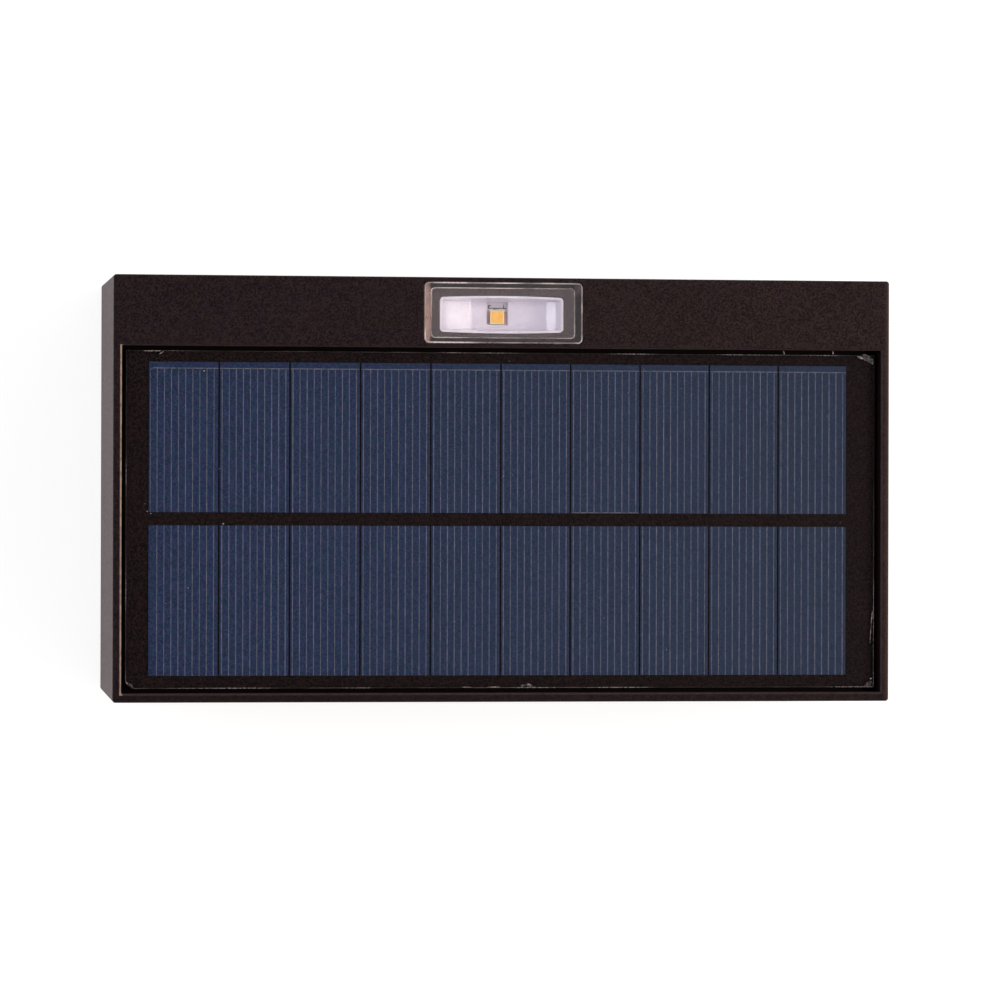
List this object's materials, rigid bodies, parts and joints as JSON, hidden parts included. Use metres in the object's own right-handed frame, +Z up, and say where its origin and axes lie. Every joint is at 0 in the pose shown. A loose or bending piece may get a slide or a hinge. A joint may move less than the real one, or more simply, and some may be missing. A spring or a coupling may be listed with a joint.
{
  "type": "solar fence light",
  "caption": "Low black moulded box that hangs on a fence, with a recessed solar panel on top and clear windows above and below for warm light.",
  "frame": {"origin": "middle of the flat back face that lies on the fence", "axes": "+Y points into the fence, +Z is up (the solar panel's side), +X is to the right of someone who looks at the fence"},
  "size_m": [0.156, 0.0844, 0.05],
  "materials": {
    "black_plastic": "fine matte texture",
    "seal_rubber": "matte",
    "screw_steel": "zinc plated",
    "foam_tape": "closed-cell foam",
    "panel_board": "black lacquered board",
    "solder": "tinned",
    "clear_resin": "clear, glossy",
    "solar_cell": "dark blue with fine printed lines",
    "clear_plastic": "clear, moulded",
    "white_plastic": "satin white",
    "white_board": "white lacquered board",
    "led_plastic": "cream",
    "led_phosphor": "yellow, satin",
    "copper": "bare metal",
    "green_board": "green lacquered board",
    "black_epoxy": "matte",
    "ferrite": "dark grey, matte",
    "connector_plastic": "off-white",
    "battery_wrap": "blue shrink wrap over a metal can",
    "contact_metal": "nickel plated",
    "button_plastic": "satin",
    "spring_steel": "bright wire",
    "red_insulation": "smooth",
    "black_insulation": "smooth"
  },
  "bodies": {
    "light": {"housing": "black_plastic", "bottom_cover": "black_plastic", "cover_gasket": "seal_rubber", "cover_screws": "screw_steel", "panel_tape": "foam_tape", "panel_board": "panel_board", "panel_pads": "solder", "panel_sheet": "clear_resin", "cell_rear_01": "solar_cell", "cell_rear_02": "solar_cell", "cell_rear_03": "solar_cell", "cell_rear_04": "solar_cell", "cell_rear_05": "solar_cell", "cell_rear_06": "solar_cell", "cell_rear_07": "solar_cell", "cell_rear_08": "solar_cell", "cell_rear_09": "solar_cell", "cell_rear_10": "solar_cell", "cell_front_01": "solar_cell", "cell_front_02": "solar_cell", "cell_front_03": "solar_cell", "cell_front_04": "solar_cell", "cell_front_05": "solar_cell", "cell_front_06": "solar_cell", "cell_front_07": "solar_cell", "cell_front_08": "solar_cell", "cell_front_09": "solar_cell", "cell_front_10": "solar_cell", "up_lens": "clear_plastic", "up_reflector": "white_plastic", "up_led_board": "white_board", "up_led_package": "led_plastic", "up_led_phosphor": "led_phosphor", "up_led_terminals": "copper", "up_light_screws": "screw_steel", "down_lens": "clear_plastic", "down_reflector": "white_plastic", "down_led_board": "white_board", "down_led_package": "led_plastic", "down_led_phosphor": "led_phosphor", "down_led_terminals": "copper", "down_light_screws": "screw_steel", "control_board": "green_board", "board_screws": "screw_steel", "control_chip": "black_epoxy", "power_inductor": "ferrite", "board_connectors": "connector_plastic", "battery_cell": "battery_wrap", "battery_holder": "button_plastic", "holder_tape": "foam_tape", "battery_contact_negative": "contact_metal", "battery_contact_positive": "contact_metal", "button_seal": "seal_rubber", "button_spring": "spring_steel", "switch_body": "black_epoxy", "leads_red": "red_insulation", "leads_black": "black_insulation"},
    "power_button": {"power_button": "button_plastic", "switch_plunger": "connector_plastic"}
  },
  "joints": [
    {"name": "button_press", "type": "slide", "parent": "light", "child": "power_button", "axis": [0, 0, 1], "range_m": [0, 0.0012], "stiffness_N_per_m": 500, "springref_m": -0.0015, "deforming": ["button_spring"]}
  ]
}
